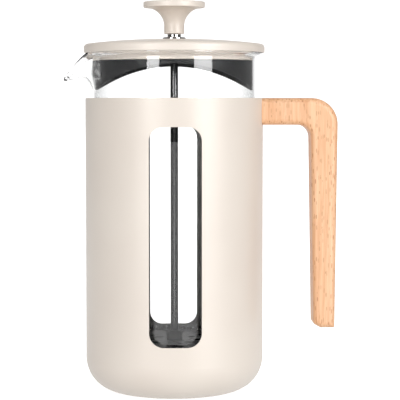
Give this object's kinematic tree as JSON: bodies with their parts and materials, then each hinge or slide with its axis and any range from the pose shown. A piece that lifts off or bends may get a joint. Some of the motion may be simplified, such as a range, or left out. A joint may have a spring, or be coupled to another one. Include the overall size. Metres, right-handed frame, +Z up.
{
  "type": "french press",
  "caption": "Plunger coffee maker: spouted glass beaker in a windowed painted steel sleeve, hanging wooden handle, domed lid with strainer guard, rod with flared knob and coil-edged filter.",
  "frame": {"origin": "middle of the underside, on the table", "axes": "+Z up along the plunger, +X towards the handle, -X towards the spout, windows face -Y and +Y"},
  "size_m": [0.1615, 0.1068, 0.2309],
  "materials": {
    "cream_paint": "satin powder coat in warm cream",
    "cream_lid": "satin powder coat in warm cream",
    "cream_collar": "cream moulding",
    "cream_knob": "satin powder coat in warm cream",
    "silicone": "matt silicone",
    "beech": "oiled beech, grain upright",
    "steel_plate": "bare stainless sheet",
    "steel_fastener": "stainless fastener",
    "brass_insert": "turned brass",
    "black_plastic": "fine moulded black",
    "borosilicate": "clear borosilicate glass",
    "chrome_bush": "bright plate",
    "polished_rod": "polished stainless rod",
    "filter_steel": "pressed stainless",
    "woven_mesh": "fine woven wire",
    "coil_wire": "bright spring wire"
  },
  "bodies": {
    "frame": {"sleeve": "cream_paint", "foot_pad": "silicone", "handle": "beech", "handle_backplate": "steel_plate", "handle_screws": "steel_fastener", "handle_inserts": "brass_insert"},
    "rest_ring": {"beaker_rest": "black_plastic"},
    "beaker": {"glass_beaker": "borosilicate"},
    "bush": {"rod_bush": "chrome_bush", "bush_washer": "steel_fastener", "bush_nut": "steel_fastener"},
    "lid": {"lid_cover": "cream_lid", "lid_collar": "cream_collar", "lid_guard": "black_plastic"},
    "rod": {"plunger_rod": "polished_rod"},
    "plunger": {"knob": "cream_knob", "knob_insert": "brass_insert", "cross_plate": "filter_steel", "mesh_screen": "woven_mesh", "spring_coil": "coil_wire", "spiral_plate": "filter_steel", "hub_nut": "filter_steel"}
  },
  "joints": [
    {"name": "beaker_turn", "type": "hinge", "parent": "frame", "child": "rest_ring", "pos_m": [0, 0, 0], "axis": [0, 0, 1], "continuous": true},
    {"name": "beaker_lift", "type": "slide", "parent": "rest_ring", "child": "beaker", "axis": [0, 0, 1], "range_m": [0, 0.16]},
    {"name": "lid_lift", "type": "slide", "parent": "beaker", "child": "bush", "axis": [0, 0, 1], "range_m": [0, 0.18]},
    {"name": "lid_turn", "type": "hinge", "parent": "bush", "child": "lid", "pos_m": [0, 0, 0], "axis": [0, 0, 1], "continuous": true},
    {"name": "plunger_slide", "type": "slide", "parent": "bush", "child": "rod", "axis": [0, 0, 1], "range_m": [0, 0.142]},
    {"name": "plunger_spin", "type": "hinge", "parent": "rod", "child": "plunger", "pos_m": [0, 0, 0], "axis": [0, 0, 1], "continuous": true}
  ]
}
